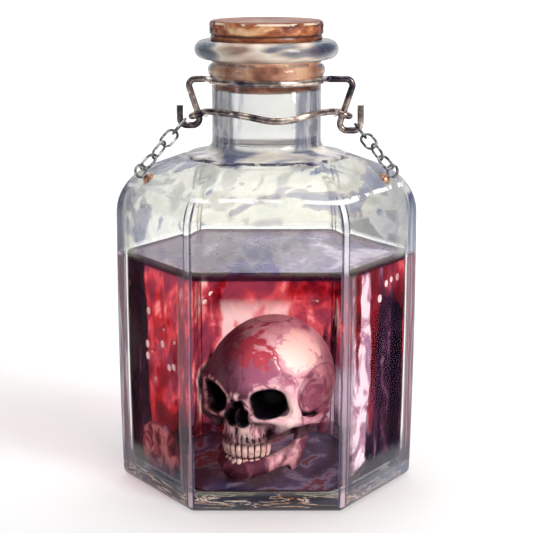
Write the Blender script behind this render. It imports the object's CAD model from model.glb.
import math

import bpy
import numpy as np
from mathutils import Matrix, Vector, noise


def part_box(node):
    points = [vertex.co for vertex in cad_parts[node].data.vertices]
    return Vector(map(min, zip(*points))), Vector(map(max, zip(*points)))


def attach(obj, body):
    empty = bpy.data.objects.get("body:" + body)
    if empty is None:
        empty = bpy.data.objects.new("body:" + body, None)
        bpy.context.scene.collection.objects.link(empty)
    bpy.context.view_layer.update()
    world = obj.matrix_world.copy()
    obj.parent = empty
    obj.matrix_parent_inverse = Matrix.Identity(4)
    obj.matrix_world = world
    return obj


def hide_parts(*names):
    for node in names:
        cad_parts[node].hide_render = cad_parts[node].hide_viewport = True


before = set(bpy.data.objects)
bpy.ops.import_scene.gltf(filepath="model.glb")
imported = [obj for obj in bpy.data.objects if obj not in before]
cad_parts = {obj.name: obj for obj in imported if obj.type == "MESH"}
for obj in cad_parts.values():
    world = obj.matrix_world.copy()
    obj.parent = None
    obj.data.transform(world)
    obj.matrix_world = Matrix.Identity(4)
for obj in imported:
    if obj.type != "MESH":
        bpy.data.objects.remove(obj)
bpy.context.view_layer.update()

print("poison bottle: frame loaded")

mm = 0.001
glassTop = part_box("glass_bottle")[1].z
liquidLow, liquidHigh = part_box("liquid")
headLow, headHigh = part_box("stopper_head")
plugLow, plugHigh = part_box("stopper_shank")


# Node trees are written as sums: a Wired value is one socket, and + - * / on it add Math nodes.
class Wired:
    def __init__(self, paint, socket):
        self.paint = paint
        self.socket = socket

    def reckon(self, operation, *values):
        return self.paint.add("ShaderNodeMath", {"operation": operation}, dict(enumerate(values))).out(0)

    def __add__(self, other):
        return self.reckon("ADD", self, other)

    def __radd__(self, other):
        return self.reckon("ADD", other, self)

    def __sub__(self, other):
        return self.reckon("SUBTRACT", self, other)

    def __rsub__(self, other):
        return self.reckon("SUBTRACT", other, self)

    def __mul__(self, other):
        return self.reckon("MULTIPLY", self, other)

    def __rmul__(self, other):
        return self.reckon("MULTIPLY", other, self)

    def __truediv__(self, other):
        return self.reckon("DIVIDE", self, other)

    def __pow__(self, other):
        return self.reckon("POWER", self, other)

    def __abs__(self):
        return self.reckon("ABSOLUTE", self)

    def most(self, other):
        return self.reckon("MAXIMUM", self, other)

    def least(self, other):
        return self.reckon("MINIMUM", self, other)

    def rise(self, low, high):  # 0 below low, 1 above high, eased between; falls when low > high
        span = self.paint.add(
            "ShaderNodeMapRange",
            {"interpolation_type": "SMOOTHSTEP", "clamp": True},
            {"Value": self, "From Min": min(low, high), "From Max": max(low, high)},
        )
        eased = span.out("Result")
        return eased if low < high else 1 - eased


class Made:
    def __init__(self, paint, node):
        self.paint = paint
        self.node = node

    def out(self, which):
        return Wired(self.paint, self.node.outputs[which])


class Paint:
    def __init__(self, name, owner=None, space="Object"):
        self.owner = owner or bpy.data.materials.new(name)
        self.owner.use_nodes = True
        self.tree = self.owner.node_tree
        self.tree.nodes.clear()
        self.place = self.add("ShaderNodeTexCoord").out(space)

    def add(self, kind, settings=None, values=None):
        node = self.tree.nodes.new(kind)
        for name, value in (settings or {}).items():
            if name == "stops":
                self.setStops(node.color_ramp, value)
            else:
                setattr(node, name, value)
        for name, value in (values or {}).items():
            socket = self.inputOf(node, name)
            if isinstance(value, Wired):
                self.tree.links.new(value.socket, socket)
            else:
                socket.default_value = value
        return Made(self, node)

    def inputOf(self, node, name):  # a Mix node has several sockets of one name, one of them in use
        if isinstance(name, int):
            return node.inputs[name]
        return next(socket for socket in node.inputs if socket.name == name and socket.enabled)

    def setStops(self, ramp, stops):
        while len(ramp.elements) < len(stops):
            ramp.elements.new(0.5)
        for element, (at, colour) in zip(ramp.elements, stops):
            element.position = at
            element.color = (*linear(colour), 1)

    def axes(self):
        split = self.add("ShaderNodeSeparateXYZ", None, {0: self.place})
        return [split.out(i) for i in range(3)]

    def stretched(self, factors):
        if factors is None:
            return self.place
        return self.add("ShaderNodeVectorMath", {"operation": "MULTIPLY"}, {0: self.place, 1: factors}).out(0)

    def cloud(self, scale, detail=4.0, rough=0.55, warp=0.0, stretch=None):
        values = {"Scale": scale, "Detail": detail, "Roughness": rough, "Distortion": warp}
        values["Vector"] = self.stretched(stretch)
        return self.add("ShaderNodeTexNoise", None, values).out(0)

    def cells(self, scale, loose=1.0, stretch=None):
        values = {"Vector": self.stretched(stretch), "Scale": scale, "Randomness": loose}
        return self.add("ShaderNodeTexVoronoi", None, values).out("Distance")

    def mark(self, name):  # a value that the mesh carries at its points
        return self.add("ShaderNodeAttribute", {"attribute_name": name}).out("Fac")

    def ramp(self, value, *stops):
        return self.add("ShaderNodeValToRGB", {"stops": stops}, {0: value}).out(0)

    def colour(self, value):
        return value if isinstance(value, Wired) else (*linear(value), 1)

    def over(self, colour, *layers):  # each layer is a mask and the colour it lets lie on the rest
        for mask, top in layers:
            values = {"Factor": mask, "A": self.colour(colour), "B": self.colour(top)}
            colour = self.add("ShaderNodeMix", {"data_type": "RGBA"}, values).out(2)
        return colour

    def grazing(self, low, high):  # 0 where the glass is met squarely, 1 at its very edge
        return self.add("ShaderNodeLayerWeight", None, {"Blend": 0.5}).out("Facing").rise(low, high)

    def turnAbout(self):  # angle round the bottle, and angle from the nearest upright edge
        x, y = self.axes()[:2]
        angle = x.reckon("ARCTAN2", y, x)
        return angle, x.reckon("PINGPONG", angle, sixth / 2)

    def flatReach(self):  # distance from the axis, taken square to the nearest flat
        x, y = self.axes()[:2]
        slant, upright = math.cos(sixth / 2), math.sin(sixth / 2)
        return abs(y).most(abs(x * slant + y * upright)).most(abs(x * slant - y * upright))

    def bump(self, height, depth, strength=1.0):
        values = {"Height": height, "Distance": depth, "Strength": strength}
        return self.add("ShaderNodeBump", None, values).out(0)

    def surface(self, **values):
        named = {name.replace("_", " "): value for name, value in values.items()}
        named["Base Color"] = self.colour(named["Base Color"])
        return self.add("ShaderNodeBsdfPrincipled", None, named).out(0)

    def mixed(self, mask, first, second):
        return self.add("ShaderNodeMixShader", None, {0: mask, 1: first, 2: second}).out(0)

    def lampsPass(self, shader, tint):  # lamps shine through, softened by the tint
        shadow = self.add("ShaderNodeLightPath").out("Is Shadow Ray")
        clear = self.add("ShaderNodeBsdfTransparent", None, {0: (*tint, 1)}).out(0)
        return self.mixed(shadow, shader, clear)

    def finish(self, shader, **more):
        self.add("ShaderNodeOutputMaterial", None, {"Surface": shader, **more})
        return self.owner


def linear(colour):  # colours are 0 to 255, as a paint box gives them, or shares up to 1 in linear light
    if max(colour) <= 1:
        return colour
    shares = [value / 255 for value in colour]
    return tuple(c / 12.92 if c <= 0.04045 else ((c + 0.055) / 1.055) ** 2.4 for c in shares)


# Meshes are rows of points, turned or lofted, or the skin of a rounded field.
def meshOf(name, points, faces, materials, slots=None):
    mesh = bpy.data.meshes.new(name)
    mesh.from_pydata([tuple(p) for p in points], [], [tuple(int(i) for i in f) for f in faces])
    for material in materials:
        mesh.materials.append(material)
    if slots is not None:
        mesh.polygons.foreach_set("material_index", np.asarray(slots, np.int32))
    mesh.polygons.foreach_set("use_smooth", np.ones(len(mesh.polygons), bool))
    mesh.validate()
    mesh.update()
    made = bpy.data.objects.new(name, mesh)
    bpy.context.scene.collection.objects.link(made)
    return made


def stands(made, node, body):  # shows this node of the frame and moves with its body
    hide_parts(node)
    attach(made, body)


def loftFaces(rings, around):  # from a first point over all rings to a last point
    step = np.arange(around)
    ahead = (step + 1) % around
    faces = list(zip([0] * around, 1 + ahead, 1 + step))
    tip = 1 + rings * around
    for a in range(1, tip - around, around):
        b = a + around
        faces.extend(zip(a + step, a + ahead, b + ahead, b + step))
    faces.extend(zip([tip] * around, tip - around + step, tip - around + ahead))
    return faces


# Glass bottle
glassShape = {
    "halfFlats": 41.95 * mm,
    "footHalf": 40.85 * mm,
    "waist": 75 * mm,
    "cornerHeight": 98.5 * mm,
    "slope": math.radians(22),
    "bend": 17 * mm,
    "wall": 3 * mm,
    "floor": 4.6 * mm,
    "ridge": 3 * mm,
    "innerRidge": 5 * mm,
    "heel": 2.6 * mm,
    "innerHeel": 3.5 * mm,
    "leastCorner": 0.6 * mm,
    "dish": 29 * mm,
    "dishDepth": 1 * mm,
    "collar": 25.5 * mm,
    "collarTop": 106.4 * mm,
    "collarEdge": 1.2 * mm,
    "collarGap": 0.02 * mm,  # keeps the dome's last ring under the collar's top
    "neck": 17.2 * mm,
    "flare": 3.6 * mm,
    "flareRise": 1.2 * mm,
    "neckRings": (0.33, 0.66),  # shares of the way in from the collar to the flare
    "bore": 14 * mm,
    "boreFoot": 1.8 * mm,
    "beadBottom": 130.6 * mm,
    "beadHeight": 3.8 * mm,
    "beadReach": 1.3 * mm,
    "groove": 0.9 * mm,
    "lipReach": 5.5 * mm,
    "lipHalf": 2.95 * mm,
    "lipRise": 0.7 * mm,
    "mouthEdge": 0.7 * mm,
    "ripple": 0.16 * mm,  # unevenness of the inner wall
    "rippleWide": 9 * mm,
    "rippleFine": 4 * mm,
    "bodyBend": 1.04,  # refraction: weak in the body, so that the potion shows its full depth
    "neckBend": 1.38,
    "corkBend": 1.03,  # the cork lies tight against the bore
}
sixth = math.pi / 3


# Every ring of the glass and the potion has its points at the same angles, closer at the corners.
def ringAngles(flatSteps=9, cornerSteps=9, cornerFrom=math.radians(25.5)):
    half = np.concatenate([
        np.linspace(0, cornerFrom, flatSteps, endpoint=False),
        np.linspace(cornerFrom, sixth / 2, cornerSteps, endpoint=False),
    ])
    sector = np.concatenate([half, [sixth / 2], sixth - half[:0:-1]])
    turns = [sector + sixth * side + sixth / 2 for side in range(6)]
    return np.concatenate(turns)


angles = ringAngles()
offFlat = np.abs(angles % sixth - sixth / 2)  # from the nearest flat's middle


def roundedHex(half, corner):  # how far out a six-sided ring with rounded corners lies at each angle
    centre = (half - corner) / math.cos(sixth / 2)
    offCorner = sixth / 2 - offFlat
    flatEnd = math.atan((half - corner) * math.tan(sixth / 2) / half)
    onFlat = half / np.cos(offFlat)
    inRoot = np.maximum(corner ** 2 - (centre * np.sin(offCorner)) ** 2, 0)
    onCorner = centre * np.cos(offCorner) + np.sqrt(inRoot)
    return np.where(offFlat < flatEnd, onFlat, onCorner)


def halfAt(radius, corner):  # the other way: which six-sided ring runs through this radius
    offCorner = sixth / 2 - offFlat
    onFlat = radius * np.cos(offFlat)
    inRoot = np.maximum(corner ** 2 - (radius * np.sin(offCorner)) ** 2, 0)
    onCorner = (radius * np.cos(offCorner) - np.sqrt(inRoot)) * math.cos(sixth / 2) + corner
    flatEnd = np.arctan((onFlat - corner) * math.tan(sixth / 2) / onFlat)
    return np.where(offFlat < flatEnd, onFlat, onCorner)


def ringPoints(radius, height):
    radius = np.broadcast_to(radius, angles.shape)
    height = np.broadcast_to(height, angles.shape)
    return np.stack([radius * np.cos(angles), radius * np.sin(angles), height], axis=1)


def hexRing(half, corner, height):
    return ringPoints(roundedHex(half, corner), height)


def arcRings(centreR, centreZ, size, start, end, count):  # a rounding, as a circle's arc in side view
    turns = np.linspace(start, end, count)
    return [ringPoints(centreR + size * math.cos(t), centreZ + size * math.sin(t)) for t in turns]


def wallHalf(height, inset):  # half the width over the flats, which draw in towards the foot
    g = glassShape
    pull = g["halfFlats"] - g["footHalf"]
    radius = (g["waist"] ** 2 + pull ** 2) / (2 * pull)
    below = max(g["waist"] - height, 0)
    return g["halfFlats"] - inset - (radius - math.sqrt(radius ** 2 - below ** 2))


def bodyRings(inset, floorZ, heel, corner, topZ=None):  # heel and flats; the shoulder too if there is no topZ
    g = glassShape
    rings = []
    for turn in np.linspace(0, math.pi / 2, 8):
        height = floorZ + heel * (1 - math.cos(turn))
        inward = heel * (1 - math.sin(turn))
        half = wallHalf(height, inset) - inward
        rings.append(hexRing(half, max(corner - inward, g["leastCorner"]), height))
    bend = g["bend"] - inset
    cornerZ = g["cornerHeight"] - inset / math.cos(g["slope"]) + inset * math.tan(g["slope"])
    steep = math.pi / 2 - g["slope"]
    bendFrom = cornerZ - bend * math.tan(steep / 2)
    upTo = bendFrom if topZ is None else topZ
    for height in np.linspace(floorZ + heel, upTo, 26)[1:]:
        rings.append(hexRing(wallHalf(height, inset), corner, height))
    if topZ is not None:
        return rings
    for turn in np.linspace(0, steep, 14)[1:]:
        half = g["halfFlats"] - inset - bend * (1 - math.cos(turn))
        rings.append(hexRing(half, corner, bendFrom + bend * math.sin(turn)))
    return rings, g["halfFlats"] - inset - bend * (1 - math.cos(steep)), cornerZ


def domeHeight(half, cornerZ, inset):  # the slope from the shoulder up to the collar
    g = glassShape
    return cornerZ + (g["halfFlats"] - inset - half) * math.tan(g["slope"])


def outerRings():
    g = glassShape
    rings = []
    for share in np.linspace(0.08, 1, 9):
        rings.append(ringPoints(g["dish"] * share, g["dishDepth"] * (1 - share ** 2)))
    side, lastHalf, cornerZ = bodyRings(0, 0, g["heel"], g["ridge"])
    rings.extend(side)
    endHalf = halfAt(g["collar"], g["ridge"])
    for share in np.linspace(0, 1, 12)[1:]:
        if share < 1:
            half = lastHalf + (endHalf.min() - lastHalf) * share
            radius = roundedHex(half, g["ridge"])
            radius = radius + (g["collar"] - roundedHex(endHalf.min(), g["ridge"])) * share
            half = halfAt(radius, g["ridge"])
        else:
            radius = g["collar"]
            half = endHalf
        height = np.minimum(domeHeight(half, cornerZ, 0), g["collarTop"] - g["collarGap"])
        rings.append(ringPoints(radius, height))
    foot = rings[-1][:, 2]
    for turn in np.linspace(0, math.pi / 2, 6):
        radius = g["collar"] - g["collarEdge"] * (1 - math.cos(turn))
        height = g["collarTop"] - g["collarEdge"] * (1 - math.sin(turn))
        rings.append(ringPoints(radius, np.maximum(height, foot)))
    slope = math.atan2(g["flareRise"], g["collar"] - g["neck"])
    reach = g["flare"] * math.tan((math.pi / 2 - slope) / 2)
    footR = g["neck"] + reach * math.cos(slope)
    footZ = g["collarTop"] + g["flareRise"] - reach * math.sin(slope)
    startR, startZ = g["collar"] - g["collarEdge"], g["collarTop"]
    for share in g["neckRings"]:
        rings.append(ringPoints(startR + (footR - startR) * share, startZ + (footZ - startZ) * share))
    centreZ = footZ + g["flare"] * math.cos(slope)
    rings += arcRings(g["neck"] + g["flare"], centreZ, g["flare"], -math.pi / 2 - slope, -math.pi, 8)
    for height in np.linspace(centreZ, g["beadBottom"], 12)[1:]:
        rings.append(ringPoints(g["neck"], height))
    for turn in np.linspace(0, math.pi, 12)[1:]:
        height = g["beadBottom"] + g["beadHeight"] * (1 - math.cos(turn)) / 2
        rings.append(ringPoints(g["neck"] + math.sin(turn) * g["beadReach"], height))
    grooveTop = g["beadBottom"] + g["beadHeight"] + g["groove"]
    rings.append(ringPoints(g["neck"], grooveTop))
    lipR = g["neck"] + g["lipReach"] - g["lipHalf"]
    lipZ = grooveTop + g["lipRise"] + g["lipHalf"]
    return rings + arcRings(lipR, lipZ, g["lipHalf"], -math.pi / 2, math.pi / 2, 17)


def innerRings():
    g = glassShape
    edge, foot = g["mouthEdge"], g["boreFoot"]
    rings = arcRings(g["bore"] + edge, glassTop - edge, edge, math.pi / 2, math.pi, 6)
    ceiling = g["collarTop"] - g["wall"]
    for height in np.linspace(glassTop - edge, ceiling + foot, 18)[1:]:
        rings.append(ringPoints(g["bore"], height))
    rings += arcRings(g["bore"] + foot, ceiling + foot, foot, math.pi, math.pi * 1.5, 7)[1:]
    side, lastHalf, cornerZ = bodyRings(g["wall"], g["floor"], g["innerHeel"], g["innerRidge"])
    ceilingHalf = g["halfFlats"] - g["wall"] - (ceiling - cornerZ) / math.tan(g["slope"])
    for share in np.linspace(0, 1, 5)[1:]:
        end = roundedHex(ceilingHalf, g["innerRidge"])
        rings.append(ringPoints(g["bore"] + foot + (end - g["bore"] - foot) * share, ceiling))
    for share in np.linspace(0, 1, 6)[1:-1]:
        half = ceilingHalf + (lastHalf - ceilingHalf) * share
        rings.append(hexRing(half, g["innerRidge"], domeHeight(half, cornerZ, g["wall"])))
    rings.extend(reversed(side))
    for share in (0.75, 0.5, 0.25, 0.06):
        rings.append(hexRing(wallHalf(g["floor"], g["wall"]) * share, g["innerRidge"] * share, g["floor"]))
    return rings


def rippled(points):  # the inner wall bulges outward by chance, so that the glass looks hand made
    g = glassShape
    moved = points.copy()
    for i, point in enumerate(points):
        spot = Vector(point)
        if spot.z < g["floor"] + g["innerHeel"] or spot.z > g["collarTop"] - g["wall"] * 2:
            continue
        push = noise.noise(spot / g["rippleWide"]) + 0.5 * noise.noise(spot / g["rippleFine"])
        shrink = 1 - abs(push) * g["ripple"] / max(math.hypot(spot.x, spot.y), g["bore"])
        moved[i, :2] *= shrink
    return moved


glassTint = {"body": (0.985, 0.99, 0.995), "shadow": (0.98, 0.985, 0.99)}
glassBands = {  # where each wash of paint begins and where it is full, as heights
    "sole": (0.0020, 0.0011),
    "foot": (0.0072, 0.0050),
    "aboveFoot": (0.0045, 0.0072),
    "mireTop": (0.0150, 0.0085),
    "mireFoot": (0.0050, 0.0062),
    "wet": (0.0740, 0.0732),
    "pastFill": (0.0740, 0.0748),
    "dry": (0.0735, 0.0760),
    "overPotion": (0.0915, 0.0895),
    "dome": (0.092, 0.105),
    "body": (0.100, 0.094),
    "collarFoot": (0.1050, 0.1056),
    "collarHead": (0.1092, 0.1080),
    "underNeck": (0.1100, 0.1080),
    "neckFoot": (0.1075, 0.1095),
    "neckHead": (0.1272, 0.1262),
    "splashFoot": (0.1150, 0.1165),
    "lip": (0.1352, 0.1362),
}
glassLines = {  # strokes of the brush: two dark rings, a level gleam and an upright splash
    "collarRing": 0.1056,
    "lipRing": 0.1347,
    "gleam": 0.0968,
    "splash": 0.0084,
}


def clearGlass(p, bend):
    return p.surface(Base_Color=glassTint["body"], Roughness=0.0, IOR=bend, Transmission_Weight=1.0)


def innerGlassPaint(name, bend):
    p = Paint(name)
    return p.finish(p.lampsPass(clearGlass(p, bend), glassTint["shadow"]))


def glassPaint(name, bend):
    p = Paint(name)
    x, y, z = p.axes()
    at = {band: z.rise(*heights) for band, heights in glassBands.items()}
    edge = p.turnAbout()[1]
    side = abs(x) / glassShape["neck"]
    wash = p.cloud(24, 4, 0.5, 1.0, (1, 1, 1.5))
    patch = p.cloud(110, 4, 0.55, 1.0, (1, 1, 0.8))
    upright = p.cloud(190, 3, 0.5, 0.4, (1, 1, 0.06))
    level = p.cloud(120, 4, 0.6, 1.2, (0.5, 0.5, 3.0))
    strokes = p.cloud(80, 3, 0.5, 0.6, (0.6, 0.6, 1))
    bands = p.cloud(46, 2, 0.5, 0.3, (0.8, 0.8, 3.0))
    blot = wash + (patch - 0.5) * 0.30
    neckShade = side * 0.8 + (upright - 0.5) * 0.9
    body = p.ramp(blot, (0.395, (56, 66, 108)), (0.408, (94, 104, 140)), (0.440, (124, 134, 160)),
                  (0.447, (206, 208, 192)), (0.52, (228, 227, 198)), (0.575, (242, 239, 216)),
                  (0.583, (178, 168, 162)), (0.64, (140, 142, 160)))
    base = p.ramp(level, (0.38, (8, 8, 26)), (0.455, (22, 20, 48)), (0.488, (70, 62, 82)),
                  (0.505, (224, 210, 192)), (0.530, (146, 88, 52)), (0.56, (42, 24, 36)),
                  (0.62, (12, 10, 32)))
    stem = p.ramp(neckShade + (patch - 0.5) * 0.3,
                  (0.20, (222, 220, 202)), (0.33, (198, 196, 188)), (0.36, (150, 152, 166)),
                  (0.50, (88, 90, 116)), (0.56, (134, 136, 154)), (0.62, (196, 194, 190)),
                  (0.70, (84, 86, 112)), (0.82, (42, 44, 74)))
    rim = p.ramp(bands + side.rise(0.62, 1.12) * -0.18 + 0.065,
                 (0.32, (26, 34, 60)), (0.39, (60, 74, 96)), (0.45, (112, 126, 140)),
                 (0.49, (196, 184, 170)), (0.53, (252, 242, 228)), (0.60, (226, 204, 184)),
                 (0.68, (160, 132, 116)))
    ridges = p.over((214, 186, 198), (at["dry"], (250, 248, 246)))
    creamed = p.ramp(strokes, (0.41, (90, 96, 126)), (0.44, (186, 182, 182)), (0.50, (236, 228, 212)),
                     (0.57, (248, 240, 226)), (0.62, (214, 178, 150)))
    wetStrand = p.ramp(upright - at["dry"] * 0.02, (0.40, (34, 16, 42)), (0.455, (96, 28, 50)),
                       (0.505, (112, 66, 92)), (0.56, (214, 186, 200)), (0.62, (76, 46, 80)))
    dryStrand = p.ramp(upright, (0.42, (60, 66, 98)), (0.50, (128, 134, 152)), (0.58, (206, 206, 204)))
    strand = p.over(wetStrand, (x.rise(0.030, 0.040) * 0.55, (104, 26, 46)), (at["dry"], dryStrand))

    # where each paint lies
    inNeck = at["neckFoot"] * at["neckHead"]
    wobble = edge + (patch - 0.5) * 0.012
    ridgeDark = wobble.rise(0.034, 0.028) * at["body"]
    ridgeLight = wobble.rise(0.019, 0.015) * at["body"]
    shadow = x.rise(0.018, 0.042) * 0.32 + x.rise(-0.034, -0.047) * 0.10 + at["dome"] * 0.04
    collar = at["collarFoot"] * at["collarHead"]
    ring = abs(z - glassLines["collarRing"]).rise(0.0006, 0.0003) * patch.rise(0.44, 0.50)
    ring = ring.most(abs(z - glassLines["lipRing"]).rise(0.0006, 0.0003) * patch.rise(0.42, 0.50))
    outer = abs(x).rise(0.0415, 0.0450)
    thick = (edge - outer * 0.045).rise(0.125, 0.085) * abs(x).rise(0.0238, 0.0244) * at["aboveFoot"]
    thick = thick * (at["wet"] + at["pastFill"] * outer * at["body"]) * (1 - ridgeDark) * (1 - ridgeLight)
    gleam = abs(z - glassLines["gleam"] + (wash - 0.5) * 0.004).rise(0.0008, 0.0004) * patch.rise(0.44, 0.50)
    mire = at["mireTop"] * at["mireFoot"] * abs(x).rise(0.0240, 0.0250)
    splash = abs(x - glassLines["splash"] + (patch - 0.5) * 0.0016).rise(0.0008, 0.0004)
    splash = splash * y.rise(-0.010, -0.012) * inNeck * at["splashFoot"] * patch.rise(0.42, 0.46)
    painted = p.over(
        body, (at["foot"], base), (inNeck, stem), (at["lip"], rim), (ridgeDark, (52, 50, 84)),
        (ridgeLight, ridges), (shadow * 2.0, (128, 134, 154)), (collar, creamed), (ring, (40, 42, 74)),
        (thick, strand), (gleam, (255, 255, 252)), (mire * 0.8, (40, 40, 70)),
        (at["sole"], (18, 16, 38)), (splash, (255, 255, 255)),
    )
    grey = blot.rise(0.447, 0.440) * 0.26 + blot.rise(0.575, 0.583) * 0.20
    cover = (0.41 + grey + shadow) * at["dry"] * at["underNeck"]
    cover = cover * (1 - at["overPotion"] * y.rise(-0.010, -0.016) * 0.55)
    for mask, share in (
        (at["foot"], 0.88), (inNeck, neckShade.rise(0.30, 0.44) * 0.48 + 0.30),
        (at["lip"], side.rise(0.70, 1.1) * 0.05 + 0.82), (collar, 0.36), (ring, 0.45),
        (ridgeDark * (1 - ridgeLight) * patch.rise(0.30, 0.42), 0.80 - at["dry"] * 0.30),
        (ridgeLight, upright.rise(0.47, 0.53) * 0.30 + 0.10), (thick, outer * 0.46 + 0.46),
        (gleam, 0.5), (mire, 0.5), (at["sole"], 0.3), (splash, 0.8),
    ):
        cover = cover + mask * share
    smear = p.surface(Base_Color=painted, Roughness=0.14 + patch * 0.15, Normal=p.bump(patch, 0.0004, 0.3))
    glass = p.mixed(cover.least(0.90), clearGlass(p, bend), smear)
    rind = p.surface(Base_Color=(38, 42, 74), Roughness=0.3)  # glass goes dark where it is looked along
    return p.finish(p.lampsPass(p.mixed(p.grazing(0.80, 0.93) * 0.92, glass, rind), glassTint["shadow"]))


def makeGlass():
    outer = outerRings()
    inner = innerRings()
    count = len(outer) + len(inner)
    innerPoints = rippled(np.concatenate(inner))
    g = glassShape
    points = np.concatenate([[[0, 0, g["dishDepth"]]], *outer, innerPoints, [[0, 0, g["floor"]]]])
    faces = loftFaces(count, len(angles))
    outside = len(angles) * len(outer)
    slots = [0] * outside + [1] * (len(faces) - outside)
    for number, face in enumerate(faces):
        height = min(points[i][2] for i in face)
        if slots[number] == 0 and height > g["collarTop"] - g["collarEdge"]:
            slots[number] = 2
        elif slots[number] == 1 and height > plugLow.z:
            slots[number] = 3
    paints = [
        glassPaint("bottleGlass", g["bodyBend"]),
        innerGlassPaint("bottleGlassInside", g["bodyBend"]),
        glassPaint("neckGlass", g["neckBend"]),
        innerGlassPaint("neckGlassOnCork", g["corkBend"]),
    ]
    bottle = meshOf("bottleShell", points, faces, paints, slots)
    stands(bottle, "glass_bottle", "bottle")


makeGlass()
print("poison bottle: glass blown")


# Potion
potionShape = {
    "gap": 0.05 * mm,
    "meniscus": 0.7 * mm,
    "meniscusReach": 2.4 * mm,
    "top": liquidHigh.z,
    "floor": liquidLow.z,
    "depthColour": (0.83, 0.30, 0.33, 1),
    "density": 6.5,
    "wallTint": (0.95, 0.88, 0.89),
    "topTint": (0.86, 0.80, 0.82),
    "plume": {"x": -33.5 * mm, "wide": 7 * mm, "level": 0.13, "high": 0.13},  # heights as shares of the fill
}


def soak(p, shader):  # the surface's shader, with the potion's own depth of colour behind it
    values = {"Color": potionShape["depthColour"], "Density": potionShape["density"]}
    return p.finish(shader, Volume=p.add("ShaderNodeVolumeAbsorption", None, values).out(0))


def stained(p, colour):  # lets the light through unbent, in this colour
    return p.surface(Base_Color=colour, Roughness=0.0, IOR=1.01, Transmission_Weight=1.0)


def wallPaint():
    p = Paint("potionWall")
    x, y, z = p.axes()
    angle, edge = p.turnAbout()
    height = (z - potionShape["floor"]) / (potionShape["top"] - potionShape["floor"])
    wash = p.cloud(44, 4, 0.5, 1.4, (1, 1, 0.8))
    patch = p.cloud(130, 5, 0.6, 1.2, (1, 1, 0.8))
    flow = p.cloud(95, 4, 0.55, 0.9, (1, 1, 0.14))
    front = y.rise(-0.030, -0.036)
    rear = y.rise(0.0, 0.010)
    # stain: pale coral through crimson to wine, deepest at the back right and low down
    sway = x + (wash - 0.5) * 0.055
    glow = sway.rise(-0.022, -0.010) * sway.rise(0.014, 0.004) * height.rise(0.48, 0.75)
    lean = rear * (sway.rise(0.004, 0.014) * 0.08 + sway.rise(-0.018, -0.028) * 0.05 - glow * 0.15)
    lean = lean + angle.rise(-0.62, -0.50) * y.rise(0.0, -0.004) * 0.07 + height.rise(0.55, 0.15) * 0.05
    depth = 0.99 - wash + (0.5 - patch) * 0.38 + lean - front * 0.07
    window = front * height.rise(0.90, 0.80)
    lowRear = rear * height.rise(0.36, 0.26) * x.rise(-0.004, 0.004)
    stain = p.over(
        p.ramp(depth, (0.38, (248, 210, 206)), (0.435, (242, 166, 162)), (0.445, (226, 118, 120)),
               (0.49, (206, 70, 76)), (0.505, (180, 34, 42)), (0.56, (146, 18, 30)),
               (0.575, (112, 12, 26)), (0.66, (74, 8, 26))),
        (window * 0.92, (253, 242, 240)), (lowRear * 0.8, (150, 136, 172)),
    )
    # pigment lying on the wall: night violet at the sides and low down, a pale streak, drops, the plume
    rightNight = angle.rise(-0.56, -0.40) * angle.rise(-0.02, -0.08) * (height.rise(0.90, 0.55) * 0.85 + 0.34)
    leftNight = angle.rise(-2.72, -2.90) * (height.rise(0.95, 0.60) * 0.4 + 0.75)
    corner = height.rise(0.42, 0.05) * (angle.rise(-2.2, -2.5) + angle.rise(-0.95, -0.65))
    night = rightNight + leftNight + corner * y.rise(0.004, -0.004) * 0.7 + rear * edge.rise(0.20, 0.05) * 0.4
    gloom = (night + (flow - 0.5) * 1.3 + (wash - 0.5) * 0.5).rise(0.40, 0.52) * (1 - window)
    streak = angle.rise(-0.925, -0.895) * (angle + (wash - 0.5) * 0.30).rise(-0.60, -0.63)
    streak = streak * (height + (wash - 0.5)).rise(0.14, 0.22) * height.rise(0.985, 0.95)
    streak = streak * (flow + (patch - 0.5) * 0.3).rise(0.41, 0.45)
    spot = potionShape["plume"]
    plume = ((x - spot["x"]) / spot["wide"]) ** 2 + ((height - spot["level"]) / spot["high"]) ** 2
    plume = plume + (patch - 0.5) * 2.2
    plume = plume.rise(1.15, 0.85) * y.rise(-0.004, -0.010)
    cell = p.cells(150, 0.95)
    wet = (1 - window) * wash.rise(0.47, 0.49) * y.rise(0.0, -0.01) * height.rise(0.40, 0.50)
    wet = wet * height.rise(0.96, 0.93)
    drop = cell.rise(0.20, 0.18) * wet
    dropLine = cell.rise(0.235, 0.225) * cell.rise(0.18, 0.20) * wet
    rim = height.rise(0.964, 0.976)
    colour = p.over(
        p.ramp(flow + (patch - 0.5) * 0.5, (0.38, (6, 3, 16)), (0.46, (16, 6, 24)),
               (0.55, (38, 12, 34)), (0.61, (70, 34, 58)), (0.68, (124, 86, 112))),
        (streak, p.ramp(patch, (0.42, (150, 106, 132)), (0.50, (196, 156, 172)), (0.56, (232, 208, 216)))),
        (plume, p.ramp(patch, (0.40, (56, 12, 24)), (0.50, (128, 44, 56)), (0.60, (196, 112, 110)))),
        (drop, (248, 206, 200)), (dropLine, (110, 18, 34)), (rim, (30, 10, 28)),
    )
    cover = gloom * 0.97
    for mask, share in ((streak, 0.75), (plume, 0.85), (drop, 0.75), (dropLine, 0.6), (rim, 0.92)):
        cover = cover.most(mask * share)
    pigment = p.surface(Base_Color=colour, Roughness=0.5, Specular_IOR_Level=0.0)
    return soak(p, p.lampsPass(p.mixed(cover, stained(p, stain), pigment), potionShape["wallTint"]))


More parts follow.
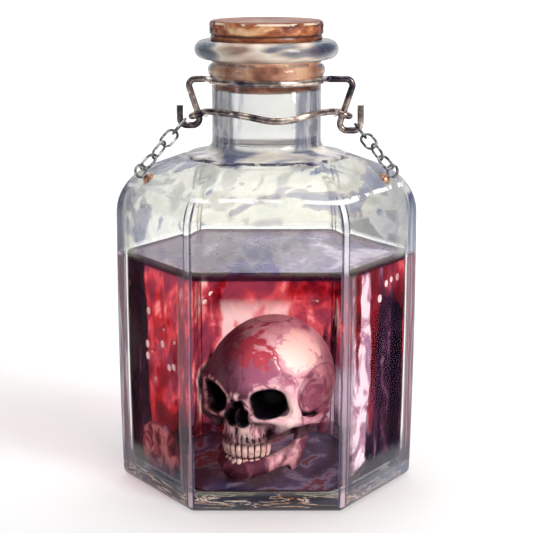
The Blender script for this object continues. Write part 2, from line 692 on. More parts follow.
def topPaint():
    p = Paint("potionTop")
    x = p.axes()[0]
    reach = p.flatReach()
    wash = p.cloud(34, 3, 0.5, 1.1, (1, 0.6, 1))
    patch = p.cloud(130, 3, 0.5, 0.8, (1, 0.55, 1))
    colour = p.over(
        p.ramp(wash + (patch - 0.5) * 0.26, (0.39, (66, 46, 92)), (0.43, (86, 66, 114)),
               (0.44, (100, 82, 130)), (0.53, (122, 106, 152)), (0.556, (142, 128, 168)),
               (0.566, (190, 172, 202)), (0.64, (212, 198, 216))),
        ((x + (wash - 0.5) * 0.05).rise(-0.008, -0.020) * 0.85, (64, 34, 80)),
        ((reach + (patch - 0.5) * 0.004).rise(0.0335, 0.0345) * 0.7, (112, 70, 104)),
        (reach.rise(0.0372, 0.0380), (50, 26, 56)),
    )
    shine = p.surface(Base_Color=colour, Roughness=0.22 + patch * 0.1, Normal=p.bump(wash, 0.001, 0.3))
    return soak(p, p.lampsPass(shine, potionShape["topTint"]))


def floorPaint():
    p = Paint("potionFloor")
    wash = p.cloud(36, 3, 0.5, 1.2, (1.2, 0.8, 1))
    patch = p.cloud(120, 4, 0.55, 1.0, (1, 0.6, 1))
    colour = p.ramp(wash + (patch - 0.5) * 0.5, (0.38, (12, 14, 36)), (0.44, (26, 30, 58)),
                    (0.45, (42, 46, 80)), (0.52, (54, 64, 96)), (0.53, (88, 96, 124)),
                    (0.60, (124, 128, 148)), (0.62, (96, 42, 56)), (0.70, (64, 20, 36)))
    colour = p.over(colour, (p.flatReach().rise(0.0318, 0.0332), (20, 16, 34)))
    relief = p.bump(patch, 0.0008, 0.5)
    return soak(p, p.surface(Base_Color=colour, Roughness=0.4, Specular_IOR_Level=0.2, Normal=relief))


def makePotion():
    s, g = potionShape, glassShape
    inset = g["wall"] + s["gap"] + g["ripple"] * 0.8
    rings = []
    floorHalf = wallHalf(s["floor"], inset) - g["innerHeel"]
    for share in np.linspace(0.1, 0.95, 8):
        rings.append(hexRing(floorHalf * share, g["innerRidge"] * share, s["floor"]))
    floorRings = len(rings)
    rings.extend(bodyRings(inset, s["floor"], g["innerHeel"], g["innerRidge"], s["top"]))
    wallRings = len(rings)
    edgeHalf = wallHalf(s["top"], inset)
    for share in np.linspace(0, 1, 8):
        half = edgeHalf - s["meniscusReach"] * share
        rings.append(hexRing(half, g["innerRidge"], s["top"] + s["meniscus"] * (1 - share) ** 3))
    for share in np.linspace(0, 1, 14)[1:-1]:
        half = (edgeHalf - s["meniscusReach"]) * (1 - share)
        rings.append(hexRing(half, g["innerRidge"] * (1 - share), s["top"]))
    points = np.concatenate([[[0, 0, s["floor"]]], *rings, [[0, 0, s["top"]]]])
    faces = loftFaces(len(rings), len(angles))
    perRing = len(angles)
    slots = [1] * perRing * (1 + floorRings)
    slots += [0] * perRing * (wallRings - floorRings)
    slots += [2] * (len(faces) - len(slots))
    potion = meshOf("potionBody", points, faces, [wallPaint(), floorPaint(), topPaint()], slots)
    stands(potion, "liquid", "bottle")


makePotion()
print("poison bottle: potion poured")


# Skull, carved as a rounded field in its own frame: the face looks along -Y and the chin stands at 0
skullShape = {
    "height": 48.8 * mm,
    "turn": math.radians(-32),
    "place": (2.1 * mm, -6.0 * mm, 4.7 * mm),
    "grain": 0.36 * mm,
    "toothDepth": 0.050,  # also a share of the height
    "toothUneven": 0.004,
    "upperCut": 0.256,  # the upper jaw ends here, as a share of the height
    "glow": {"x": 10.2 * mm, "z": 45.8 * mm, "wide": 7.2 * mm, "high": 6.2 * mm},  # cream on the forehead
}


def onEgg(p, centre, radii, power=2.0):
    q = [np.abs((a - c) / r) for a, c, r in zip(p, centre, radii)]
    if power == 2.0:
        reach = np.sqrt(q[0] ** 2 + q[1] ** 2 + q[2] ** 2)
    else:
        reach = (q[0] ** power + q[1] ** power + q[2] ** power) ** (1 / power)
    return (reach - 1) * min(radii)


def onBar(p, start, end, startRadius, endRadius):
    way = np.subtract(end, start)
    off = [a - s for a, s in zip(p, start)]
    share = sum(o * w for o, w in zip(off, way)) / float(way @ way)
    share = np.clip(share, 0, 1)
    gap = np.sqrt(sum((o - w * share) ** 2 for o, w in zip(off, way)))
    return gap - (startRadius + (endRadius - startRadius) * share)


def joined(a, b, soft):  # one form laid on another, with a soft seam
    h = np.clip(0.5 + 0.5 * (b - a) / soft, 0, 1)
    return b + (a - b) * h - soft * h * (1 - h)


def carved(a, b, soft):
    return -joined(-a, b, soft)


# The same place, seen from a form that is moved and turned.
def turnedFor(p, centre, aroundZ, aroundY):
    x, y, z = [a - c for a, c in zip(p, centre)]
    cz, sz = math.cos(aroundZ), math.sin(aroundZ)
    x, y = x * cz + y * sz, -x * sz + y * cz
    cy, sy = math.cos(aroundY), math.sin(aroundY)
    x, z = x * cy + z * sy, -x * sy + z * cy
    return x, y, z


# Teeth stand along half an oval: place across and forward, width and the way each one faces.
def toothPlaces(count, halfX, halfY, centreY, spread):
    step = math.radians(spread) / count
    found = []
    for number in range(count):
        turn = -math.pi / 2 + step * (number + 0.5 - count / 2)
        width = math.hypot(halfX * math.sin(turn), halfY * math.cos(turn)) * step
        facing = math.atan2(halfY * math.cos(turn), -halfX * math.sin(turn))
        found.append((halfX * math.cos(turn), centreY + halfY * math.sin(turn), width, facing))
    return found


upperArch = {"count": 12, "halfX": 0.146, "halfY": 0.152, "centreY": -0.290, "spread": 178}
lowerArch = {"count": 12, "halfX": 0.150, "halfY": 0.150, "centreY": -0.280, "spread": 170}
craniumForms = {  # an egg has a centre and radii, a bar has two ends with their radii; softness comes first
    "case": ((0, 0.005, 0.602), (0.405, 0.425, 0.418)),
    "added": (
        (0.10, onEgg, (0, -0.19, 0.680), (0.300, 0.235, 0.245)),  # forehead
        (0.06, onEgg, (0, -0.235, 0.47), (0.250, 0.175, 0.185)),  # face
        (0.04, onEgg, (0, -0.290, 0.340), (0.148, 0.152, 0.130), 2.6),  # upper jaw
        (0.03, onEgg, (0, -0.284, 0.284), (0.150, 0.154, 0.046), 3.0),  # gums
        (0.05, onBar, (0.040, -0.430, 0.622), (0.285, -0.335, 0.655), 0.036, 0.036),  # brow
        (0.03, onBar, (0.312, -0.310, 0.640), (0.338, -0.275, 0.480), 0.034, 0.032),  # side of the socket
        (0.035, onBar, (0.090, -0.425, 0.440), (0.310, -0.325, 0.420), 0.024, 0.036),  # foot of the socket
        (0.04, onBar, (0.335, -0.275, 0.440), (0.225, -0.330, 0.345), 0.044, 0.030),  # cheek
        (0.03, onBar, (0.0, -0.425, 0.615), (0.0, -0.490, 0.530), 0.036, 0.022),  # bridge of the nose
        (0.03, onBar, (0.345, -0.260, 0.415), (0.405, -0.120, 0.405), 0.032, 0.022),  # cheek arch
        (0.03, onBar, (0.405, -0.120, 0.405), (0.368, 0.060, 0.425), 0.022, 0.026),
        (0.04, onBar, (0.335, 0.085, 0.340), (0.320, 0.100, 0.250), 0.040, 0.022),  # knob behind the ear
    ),
    "cut": (
        (0.025, onEgg, (0.482, -0.140, 0.560), (0.150, 0.130, 0.165)),  # temple
        (0.04, onEgg, (0.300, -0.090, 0.290), (0.120, 0.130, 0.125)),  # inside the cheek arch
        (0.03, onEgg, (0.215, -0.395, 0.350), (0.050, 0.060, 0.050)),  # beside the upper jaw
    ),
    "septum": (0.006, onEgg, (0, -0.400, 0.430), (0.008, 0.062, 0.060)),
}
jawForms = {
    "chin": (
        (0.04, onBar, (0.156, -0.272, 0.119), (0.240, -0.120, 0.190), 0.032, 0.028),
        (0.03, onEgg, (0.0, -0.428, 0.074), (0.095, 0.042, 0.045)),
        (0.02, onEgg, (0.055, -0.440, 0.056), (0.030, 0.022, 0.022)),
    ),
    "branch": (0.035, onEgg, (0.248, -0.085, 0.215), (0.027, 0.070, 0.160), 3.2),
    "branchLean": (0.50, 0.20),  # backward run for each rise, and the height it starts from
    "knobs": (
        (0.02, onBar, (0.256, 0.010, 0.340), (0.266, 0.020, 0.392), 0.024, 0.030),
        (0.02, onBar, (0.250, -0.075, 0.300), (0.252, -0.085, 0.385), 0.024, 0.012),
    ),
    "notch": (0.012, onEgg, (0.262, -0.026, 0.415), (0.060, 0.034, 0.045)),
}


def grown(bone, p, *forms):
    for soft, kind, *sizes in forms:
        bone = joined(bone, kind(p, *sizes), soft)
    return bone


def hollowed(bone, p, *forms):
    for soft, kind, *sizes in forms:
        bone = carved(bone, kind(p, *sizes), soft)
    return bone


def facePits(p):  # sockets and nose opening, as distances from their walls
    socket = turnedFor(p, (0.204, -0.385, 0.540), math.radians(20), math.radians(12))
    return [
        onEgg(socket, (0, 0.02, 0), (0.106, 0.190, 0.090), 2.7),
        onEgg(p, (0.042, -0.455, 0.430), (0.040, 0.115, 0.050)),
        onEgg(p, (0.0, -0.475, 0.482), (0.038, 0.125, 0.064)),
    ]


def craniumField(x, y, z):
    p = (np.abs(x), y, z)
    bone = grown(onEgg(p, *craniumForms["case"]), p, *craniumForms["added"])
    bone = hollowed(bone, p, *craniumForms["cut"])
    for pit, soft in zip(facePits(p), (0.014, 0.010, 0.010)):
        bone = carved(bone, pit, soft)
    bone = grown(bone, p, craniumForms["septum"])
    for tx, ty, width, _ in toothPlaces(**upperArch):
        if tx < 0:
            continue
        root = (tx * 0.98, ty + 0.006, 0.274)
        tip = (tx * 0.86, ty * 0.98 + 0.012, 0.362)
        bone = joined(bone, onBar(p, root, tip, 0.019, 0.009), 0.008)
        groove = (tx * 1.05 + width / 2, ty - 0.010, 0.274)
        bone = carved(bone, onBar(p, groove, (tx * 0.92 + width / 2, ty, 0.325), 0.007, 0.003), 0.008)
    return np.maximum(bone, skullShape["upperCut"] - z)


def jawField(x, y, z):
    p = (np.abs(x), y, z)
    bone = None
    turns = [math.radians(t) for t in (0, 22, 44, 66, 88)]
    line = [
        (0.232 * math.sin(t), -0.14 - 0.290 * math.cos(t), 0.078 + 0.072 * math.sin(t) ** 2) for t in turns
    ]
    for start, end in zip(line, line[1:]):
        piece = onBar(p, start, end, 0.046, 0.042)
        bone = piece if bone is None else joined(bone, piece, 0.02)
    crest = [(0.156 * math.sin(t), -0.272 - 0.148 * math.cos(t), 0.119) for t in turns]
    for start, end in zip(crest, crest[1:]):
        bone = joined(bone, onBar(p, start, end, 0.030, 0.030), 0.03)
    bone = grown(bone, p, *jawForms["chin"])
    run, foot = jawForms["branchLean"]
    bone = grown(bone, (p[0], y - run * (z - foot), z), jawForms["branch"])
    bone = grown(bone, p, *jawForms["knobs"])
    bone = hollowed(bone, p, jawForms["notch"])
    for tx, ty, *_ in toothPlaces(**lowerArch):
        if tx < 0:
            continue
        bone = joined(bone, onBar(p, (tx, ty - 0.006, 0.134), (tx, ty - 0.012, 0.080), 0.016, 0.008), 0.010)
    return np.maximum(bone, -z)


# The skin lies where the field passes zero: a point in each cell that it cuts, a face for each crossed edge.
def skinOf(field, low, step):
    inside = field < 0
    shape = np.array(field.shape)
    count = np.zeros(shape - 1, np.int8)
    for i in (0, 1):
        for j in (0, 1):
            for k in (0, 1):
                count += inside[i:shape[0] - 1 + i, j:shape[1] - 1 + j, k:shape[2] - 1 + k]
    cut = (count > 0) & (count < 8)
    number = -np.ones(cut.shape, np.int64)
    number[cut] = np.arange(cut.sum())
    cells = np.argwhere(cut)
    total = np.zeros((len(cells), 3))
    hits = np.zeros(len(cells))
    units = np.eye(3, dtype=int)
    for axis in range(3):
        along = units[axis]
        first, second = [units[a] for a in range(3) if a != axis]
        for a in (0, 1):
            for b in (0, 1):
                start = cells + a * first + b * second
                here = field[tuple(start.T)]
                there = field[tuple((start + along).T)]
                crossed = (here < 0) != (there < 0)
                share = here[crossed] / (here[crossed] - there[crossed])
                total[crossed] += start[crossed] + share[:, None] * along
                hits[crossed] += 1
    points = low + (total / hits[:, None]) * step
    faces = []
    for axis in range(3):
        first, second = units[(axis + 1) % 3], units[(axis + 2) % 3]
        start = [slice(0, None)] * 3
        end = [slice(0, None)] * 3
        start[axis] = slice(0, -1)
        end[axis] = slice(1, None)
        changed = np.argwhere(inside[tuple(start)] != inside[tuple(end)])
        keep = (changed[:, (axis + 1) % 3] > 0) & (changed[:, (axis + 2) % 3] > 0)
        changed = changed[keep]
        corners = [changed, changed - first, changed - first - second, changed - second]
        quad = np.stack([number[tuple(c.T)] for c in corners], axis=1)
        solid = inside[tuple(changed.T)]
        quad[~solid] = quad[~solid][:, ::-1]
        faces.append(quad[(quad >= 0).all(axis=1)])
    return points, np.concatenate(faces)


skinMarks = {  # where the paint goes darker or lighter, in shares of the skull's height
    "reaches": (0.03, 0.06, 0.11),
    "temple": ((0.42, -0.02, 0.56), (0.22, 0.24, 0.19)),
    "frown": ((0, -0.47, 0.580), (0.075, 0.10, 0.026)),
}


def shadedSkin(name, fieldOf, low, high, paint, node):
    step = skullShape["grain"] / skullShape["height"]
    grid = [np.arange(a, b, step, dtype=np.float32) for a, b in zip(low, high)]
    field = fieldOf(*np.meshgrid(*grid, indexing="ij")).astype(np.float32)
    points, faces = skinOf(field, np.array(low), step)
    slope = np.stack(np.gradient(field, step), axis=-1)
    top = np.array(field.shape) - 1
    cell = np.clip(np.rint((points - low) / step).astype(int), 0, top)
    way = slope[tuple(cell.T)]
    way = way / np.maximum(np.linalg.norm(way, axis=1, keepdims=True), 1e-9)
    closed = np.zeros(len(points))
    for reach in skinMarks["reaches"]:  # how much bone stands near, along the outward way
        out = np.clip(np.rint((points + way * reach - low) / step).astype(int), 0, top)
        closed += np.clip(1 - field[tuple(out.T)] / reach, 0, 1) / len(skinMarks["reaches"])
    x, y, z = points.T
    p = (np.abs(x), y, z)
    pits = np.array(facePits(p))
    temple = onEgg(p, *skinMarks["temple"])
    frown = onEgg(p, *skinMarks["frown"])
    under = np.clip((p[0] - 0.14) / 0.05, 0, 1) * np.clip((0.39 - z) / 0.05, 0, 1) * (np.abs(y + 0.16) < 0.19)
    marks = {
        "hollow": closed,
        "pit": 1.6 - np.abs(pits).min(axis=0) / 0.010,
        "rims": 1.3 - np.abs(pits.min(axis=0) - 0.026) / 0.012,
        "gums": np.clip((0.385 - z) / 0.03, 0, 1) * np.clip((-0.33 - y) / 0.05, 0, 1) * (z > 0.24),
        "temple": 0.5 - temple / 0.03,
        "templeLine": 1.2 - np.abs(temple) / 0.008,
        "folds": np.maximum(under * (z > 0.25), -frown / 0.012),
    }
    setDown(meshOf(name, points * skullShape["height"], faces, [paint]), marks, node)


def setDown(made, marks, node):
    for label, values in marks.items():
        mark = made.data.attributes.new(label, "FLOAT", "POINT")
        mark.data.foreach_set("value", np.clip(values, 0, 1).astype(np.float32))
    made.data.transform(Matrix.Translation(skullShape["place"]) @ Matrix.Rotation(skullShape["turn"], 4, "Z"))
    stands(made, node, "bottle")


def bonePaint():
    p = Paint("skullBone")
    lit = skullShape["glow"]
    x, y, z = p.axes()
    hollow, pit, rims, gums, temple, templeLine, folds = [
        p.mark(name) for name in ("hollow", "pit", "rims", "gums", "temple", "templeLine", "folds")
    ]
    wash = p.cloud(62, 4, 0.5, 1.4)
    patch = p.cloud(210, 5, 0.6, 1.2)
    fine = p.cloud(900, 3, 0.6, 0.4)
    roots = p.cloud(420, 3, 0.5, 0.3, (1, 1, 0.16))
    mix = wash + (patch - 0.5) * 0.45
    height = (z - skullShape["place"][2]) / skullShape["height"]
    glow = (abs(x - lit["x"]) / lit["wide"]) ** 2 + (abs(z - lit["z"]) / lit["high"]) ** 2
    glow = glow + (patch - 0.5) * 4.0
    glow = glow.rise(1.0, 0.6) * y.rise(-0.008, -0.016)
    blush = (height + (patch - 0.5) * 0.5).rise(0.765, 0.815) * (mix + x * 8).rise(0.480, 0.445)
    shade = (x * -54 + (0.55 - height) * 0.4 + (wash - 0.5) * 1.2).rise(-0.08, 0.52)
    crease = abs(hollow - 0.20 + (fine - 0.5) * 0.06).rise(0.03, 0.01)
    rear = (x * 60 + (wash - 0.5)).rise(0.85, 1.30)
    low = (height + (wash - 0.5) * 0.2).rise(0.27, 0.12)
    colour = p.over(
        p.ramp(mix, (0.37, (160, 98, 126)), (0.44, (190, 132, 154)), (0.455, (214, 170, 186)),
               (0.53, (228, 194, 204)), (0.60, (238, 212, 216)), (0.70, (246, 230, 228))),
        (blush * 0.85, (186, 62, 74)), (glow, (255, 246, 232)), (shade * 0.9, (66, 26, 50)),
        (crease * 0.45, (84, 34, 58)), (rear * 0.7, (106, 56, 80)),
        (temple * 0.5, p.ramp(mix, (0.42, (112, 54, 74)), (0.50, (160, 92, 110)), (0.58, (206, 150, 162)))),
        (templeLine * patch.rise(0.42, 0.48) * 0.55, (70, 28, 50)),
        (low * 0.8, p.ramp(mix, (0.44, (78, 30, 50)), (0.53, (128, 64, 84)), (0.60, (214, 160, 170)))),
        (folds * 0.8, (48, 18, 34)),
        (gums * 0.85, p.ramp(roots, (0.40, (96, 44, 66)), (0.47, (176, 120, 136)), (0.52, (232, 200, 204)),
                             (0.60, (246, 226, 222)))),
        (rims * patch.rise(0.40, 0.52) * 0.75, (250, 224, 222)),
        (hollow.rise(0.30, 0.64) * 0.85 * (1 - gums * 0.5), (72, 26, 46)),
        (pit.rise(0.25, 0.85).most(hollow.rise(0.62, 0.80)), (8, 5, 16)),
    )
    return p.finish(p.surface(
        Base_Color=colour, Roughness=0.36 + patch * 0.2, Specular_IOR_Level=0.3,
        Normal=p.bump(patch + fine * 0.25, 0.0004, 0.6),
    ))


def toothPaint():
    p = Paint("toothEnamel")
    patch = p.cloud(420, 4, 0.6, 0.8)
    colour = p.ramp(patch, (0.34, (206, 168, 158)), (0.48, (234, 212, 200)), (0.62, (250, 240, 228)))
    colour = p.over(colour, (p.mark("neckline").rise(0.45, 0.95) * 0.92, (58, 20, 32)))
    return p.finish(p.surface(
        Base_Color=colour, Roughness=0.22 + patch * 0.15, Coat_Weight=0.5, Coat_Roughness=0.08,
        Normal=p.bump(patch, 0.0002, 0.5),
    ))


def toothRow(name, arch, rootZ, edgeZ, node, paint):
    around, levels = 20, 9
    turn = np.linspace(0, 2 * math.pi, around, endpoint=False)
    across = np.sign(np.cos(turn)) * np.abs(np.cos(turn)) ** 0.6
    deep = np.sign(np.sin(turn)) * np.abs(np.sin(turn)) ** 0.7
    points, faces, marks = [], [], []
    for number, (tx, ty, width, facing) in enumerate(toothPlaces(**arch)):
        base = len(points)
        edge = edgeZ + skullShape["toothUneven"] * math.sin(number * 2.3)
        for share in np.linspace(0, 1, levels):
            swell = 0.80 + 0.34 * math.sin(math.pi * min(share * 0.72 + 0.10, 1))
            if share > 0.9:
                swell *= 0.86
            cx = across * width * 0.5 * swell * 0.86
            cy = deep * skullShape["toothDepth"] * 0.5 * (1 - 0.55 * share ** 1.5)
            cy = cy - math.sin(share * math.pi) * 0.006
            px = tx + cx * math.cos(facing) - cy * math.sin(facing)
            py = ty + cx * math.sin(facing) + cy * math.cos(facing)
            height = np.full(around, rootZ + (edge - rootZ) * share)
            points.extend(np.stack([px, py, height], axis=1))
            worn = max(1 - share * 1.6, (share - 0.90) * 9)
            marks.extend(np.maximum(worn, (np.abs(np.cos(turn)) - 0.80) / 0.14))
        centre = len(points)
        points.append([tx, ty, edge + (edgeZ - rootZ) * 0.02])
        points.append([tx, ty, rootZ])
        marks.extend([0, 1])
        made = []
        for i in range(around):
            ahead = (i + 1) % around
            for level in range(levels - 1):
                a, b = base + level * around + i, base + level * around + ahead
                made.append((a, b, b + around, a + around))
            last = base + (levels - 1) * around
            made.append((last + i, last + ahead, centre))
            made.append((base + ahead, base + i, centre + 1))
        faces.extend(face[::-1] if edgeZ < rootZ else face for face in made)
    row = meshOf(name, np.array(points) * skullShape["height"], faces, [paint])
    setDown(row, {"neckline": marks}, node)


bone = bonePaint()
shadedSkin("craniumBone", craniumField, (-0.46, -0.54, 0.17), (0.46, 0.46, 1.06), bone, "skull_cranium")
shadedSkin("jawBone", jawField, (-0.36, -0.50, -0.02), (0.36, 0.24, 0.44), bone, "skull_jaw")
enamel = toothPaint()
toothRow("upperTeethRow", upperArch, 0.266, 0.171, "upper_teeth", enamel)
toothRow("lowerTeethRow", lowerArch, 0.112, 0.160, "lower_teeth", enamel)
print("poison bottle: skull carved")


# Cork stopper
corkShape = {
    "radius": 18 * mm,
    "edge": 1.3 * mm,
    "grooveHeight": 1.5 * mm,
    "grooveDepth": 0.5 * mm,
    "chip": 1.5 * mm,
    "chipSize": 1.1 * mm,
    "chipsBelow": 1.8 * mm,  # the edge crumbles most this far under the top
    "chipsFade": 3.0 * mm,
    "waveSize": 3.2 * mm,
    "wave": 0.18 * mm,
    "plugTop": 13.92 * mm,
    "plugTaper": 0.7 * mm,
    "band": 3.6 * mm,  # darker foot of the plug
}
headStops = ((0.38, (34, 14, 14)), (0.44, (82, 36, 22)), (0.49, (128, 60, 32)), (0.55, (160, 84, 46)),
             (0.62, (190, 116, 70)), (0.72, (240, 192, 146)))
plugStops = ((0.32, (104, 58, 40)), (0.42, (160, 102, 74)), (0.50, (190, 134, 102)),
             (0.60, (216, 170, 136)), (0.70, (234, 204, 172)))


def crumbled(spot, radius):  # how far the head is bitten away here, most at the left and right
    s = corkShape
    if radius < s["radius"] * 0.6:
        return Vector((0, 0, 0))
    inward = Vector((-spot.x, -spot.y, 0)).normalized()
    edgeOn = max(0, 1 - abs(spot.z - (headHigh.z - s["chipsBelow"])) / s["chipsFade"])
    chips = max(0, noise.noise(spot / s["chipSize"]) + 0.20) * edgeOn
    sideBite = abs(spot.x) / s["radius"]
    ripple = abs(noise.noise(spot / s["waveSize"])) * s["wave"]
    return inward * (chips * s["chip"] * (0.25 + 0.75 * sideBite ** 4) + ripple)


def corkPaint(name, stops, pitDark):
    p = Paint(name)
    x, _, z = p.axes()
    grain = p.cloud(70, 4, 0.55, 1.2, (0.7, 0.7, 1.5))
    streak = p.cloud(240, 4, 0.6, 0.6, (0.6, 0.6, 1.5))
    fine = p.cloud(1300, 3, 0.6)
    pits = p.cells(240, stretch=(0.8, 0.8, 1.7)).rise(0.30, 0.14)
    pits = pits * fine.rise(0.42, 0.54) * streak.rise(0.50, 0.55)
    groove = abs(z - (headLow.z + corkShape["grooveHeight"])).rise(0.0006, 0.0002)
    band = z.rise(plugLow.z + corkShape["band"] * 1.1, plugLow.z + corkShape["band"] * 0.8)
    onTop = z.rise(headHigh.z - 0.0005, headHigh.z - 0.0002)
    sheen = abs(z - (headHigh.z - 0.0007)).rise(0.0004, 0.0002) * streak.rise(0.44, 0.50)
    colour = p.over(
        p.ramp(grain + (streak - 0.5) * 0.40 - abs(x).rise(0.0135, 0.0180) * 0.07, *stops),
        (pits * 0.85, pitDark), (groove * 0.7, pitDark),
        (band * 0.9, p.ramp(streak, (0.42, (86, 40, 26)), (0.52, (138, 72, 46)), (0.60, (176, 108, 76)))),
        (onTop * 0.7, (116, 58, 34)), (sheen * 0.8, (252, 232, 208)),
    )
    return p.finish(p.surface(
        Base_Color=colour, Roughness=0.36 + streak * 0.25,
        Coat_Weight=0.28 - onTop * 0.24, Coat_Roughness=0.14,
        Normal=p.bump(streak * 0.6 + fine * 0.2 - pits, 0.0004, 0.7),
    ))


def turnedCork(name, outline, around, paint, node, shift=None):
    turn = np.linspace(0, 2 * math.pi, around, endpoint=False)
    points = [[0, 0, outline[0][1]]]
    for radius, height in outline:
        for angle in turn:
            spot = Vector((radius * math.cos(angle), radius * math.sin(angle), height))
            points.append(spot + shift(spot, radius) if shift else spot)
    points.append([0, 0, outline[-1][1]])
    made = meshOf(name, points, loftFaces(len(outline), around), [paint])
    stands(made, node, "stopper")


def makeCork():
    s = corkShape
    low, high = headLow.z, headHigh.z
    groove = low + s["grooveHeight"]
    side = s["radius"]
    under = side - s["grooveDepth"]
    outline = [(side * share, low) for share in (0.2, 0.5, 0.8)]
    outline += [(under, low), (under + 0.15 * mm, low + 0.35 * mm), (under + 0.2 * mm, groove - 0.5 * mm),
                (under - 0.05 * mm, groove - 0.15 * mm), (under, groove),
                (side - 0.1 * mm, groove + 0.45 * mm)]
    outline += [(side, height) for height in np.linspace(groove + 0.7 * mm, high - s["edge"], 9)]
    for turn in np.linspace(0, math.pi / 2, 8)[1:]:
        outline.append((side - s["edge"] * (1 - math.cos(turn)), high - s["edge"] * (1 - math.sin(turn))))
    outline += [(side * share, high) for share in (0.85, 0.7, 0.5, 0.3, 0.12)]
    headPaint = corkPaint("corkHead", headStops, (34, 12, 12))
    turnedCork("corkHead", outline, 220, headPaint, "stopper_head", crumbled)
    foot, top = plugLow.z, plugHigh.z
    footRadius = s["plugTop"] - s["plugTaper"]
    outline = [(footRadius * share, foot) for share in (0.3, 0.6, 0.9)]
    outline += [(footRadius - 0.3 * mm, foot + 0.1 * mm), (footRadius, foot + 0.6 * mm)]
    for share in np.linspace(0.06, 1, 16):
        outline.append((footRadius + s["plugTaper"] * share, foot + (top - foot) * share))
    outline += [(s["plugTop"] * share, top) for share in (0.7, 0.3)]
    turnedCork("corkPlug", outline, 160, corkPaint("corkPlug", plugStops, (84, 40, 28)), "stopper_shank")


makeCork()
print("poison bottle: cork turned")


# Bail wires, chains and studs keep the frame's own metal shapes
def metalPaint(name, stops, roughness, spotScale):
    p = Paint(name)
    wash = p.cloud(spotScale, 4, 0.6, 1.0)
    fine = p.cloud(spotScale * 6, 4, 0.6)
    colour = p.ramp(wash + (fine - 0.5) * 0.5, *stops)
    return p.finish(p.surface(
        Base_Color=colour, Metallic=0.85, Roughness=roughness + fine * 0.18, Coat_Weight=0.25,
        Normal=p.bump(fine, 0.00012, 0.5),
    ))


metals = {  # colour stops, roughness and size of the stains
    "bailBronze": (((0.38, (52, 48, 66)), (0.46, (116, 102, 104)), (0.53, (178, 158, 148)),
                    (0.62, (240, 224, 210))), 0.16, 60),
    "chainSteel": (((0.34, (36, 38, 52)), (0.46, (104, 104, 110)), (0.58, (168, 168, 170)),
                    (0.72, (226, 226, 222))), 0.22, 420),
    "studCopper": (((0.32, (0.16, 0.06, 0.04)), (0.48, (0.45, 0.20, 0.11)), (0.62, (0.70, 0.40, 0.26)),
                    (0.74, (0.88, 0.66, 0.50))), 0.28, 420),
}
bail, steel, copper = [metalPaint(name, *look) for name, look in metals.items()]


def dress(node, paint):
    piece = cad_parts[node]
    piece.data.materials.clear()
    piece.data.materials.append(paint)
    piece.data.polygons.foreach_set("use_smooth", np.ones(len(piece.data.polygons), bool))


for wireNode in ("neck_wire", "rear_neck_wire", "front_bow"):
    dress(wireNode, bail)
for chainSide in ("left", "right"):
    for linkNumber in range(1, 5):
        dress(f"{chainSide}_chain_link_{linkNumber}", steel)
    dress(f"{chainSide}_shoulder_eye", steel)
    dress(f"{chainSide}_shoulder_stud", copper)
print("poison bottle: metal dressed")


# Pale floor, soft light and the picture's camera
studio = {
    "floorReach": 3.0,
    "sweepBehind": 1.1,
    "sweepRadius": 0.5,
    "cameraPlace": (0.0, -0.590, 0.1823),
    "cameraPitch": math.radians(90 - 10.85),
    "cameraLens": 126.2,
    "roomStops": ((0.55, (240, 242, 246)), (0.85, (40, 44, 70))),  # bright ahead, dark at the sides
    "roomStrength": 0.2,
    "lamps": (  # place, what it looks at, size, power and colour
        ("keyBox", (0.52, -0.50, 0.50), (0, 0, 0.07), (0.25, 0.45), 5.2, (1, 0.985, 0.96)),
        ("sideBox", (-0.60, -0.30, 0.25), (0, 0, 0.07), (0.10, 0.6), 0.7, (0.93, 0.96, 1)),
        ("topBox", (0, 0.05, 0.75), (0, 0, 0.07), (0.5, 0.5), 2.2, (1, 1, 1)),
        ("backWash", (0, 0.55, 1.0), (0, 1.5, 0.3), (1.6, 0.5), 16, (1, 1, 1)),
    ),
}


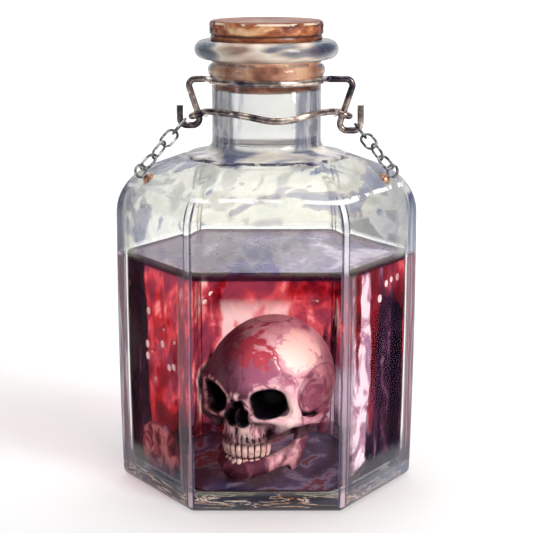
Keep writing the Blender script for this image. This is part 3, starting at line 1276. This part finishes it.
def floorMaterial():
    p = Paint("paleFloor")
    fine = p.cloud(14, 2)
    colour = p.ramp(fine, (0.3, (0.97, 0.97, 0.965)), (0.7, (0.99, 0.99, 0.985)))
    return p.finish(p.surface(Base_Color=colour, Roughness=0.85))


def makeFloor():
    s = studio
    reach, back, radius = s["floorReach"], s["sweepBehind"], s["sweepRadius"]
    line = [(-reach, 0), (back, 0)]
    for turn in np.linspace(0, math.pi / 2, 16)[1:]:
        line.append((back + radius * math.sin(turn), radius * (1 - math.cos(turn))))
    line.append((back + radius, reach))
    points = [(way * reach, y, z) for y, z in line for way in (-1, 1)]
    faces = [(2 * i, 2 * i + 1, 2 * i + 3, 2 * i + 2) for i in range(len(line) - 1)]
    meshOf("paleSweep", points, faces, [floorMaterial()])


def areaLight(name, place, target, size, power, colour):
    data = bpy.data.lights.new(name, "AREA")
    data.shape = "RECTANGLE"
    data.size, data.size_y = size
    data.energy = power
    data.color = colour
    lamp = bpy.data.objects.new(name, data)
    lamp.location = place
    lamp.rotation_euler = (Vector(target) - Vector(place)).to_track_quat("-Z", "Y").to_euler()
    bpy.context.scene.collection.objects.link(lamp)


def makeRoom():
    room = Paint("softRoom", bpy.data.worlds.new("softRoom"), "Generated")
    light = room.ramp(abs(room.axes()[0]), *studio["roomStops"])
    values = {"Color": light, "Strength": studio["roomStrength"]}
    glow = room.add("ShaderNodeBackground", None, values).out(0)
    room.add("ShaderNodeOutputWorld", None, {"Surface": glow})
    bpy.context.scene.world = room.owner


def makeCamera():
    data = bpy.data.cameras.new("pictureCamera")
    data.lens = studio["cameraLens"]
    data.sensor_width = 36
    camera = bpy.data.objects.new("pictureCamera", data)
    camera.location = studio["cameraPlace"]
    camera.rotation_euler = (studio["cameraPitch"], 0, 0)
    bpy.context.scene.collection.objects.link(camera)
    bpy.context.scene.camera = camera
    bpy.context.scene.view_settings.view_transform = "Standard"


makeFloor()
for lampSizes in studio["lamps"]:
    areaLight(*lampSizes)
makeRoom()
makeCamera()
print("poison bottle: studio lit")
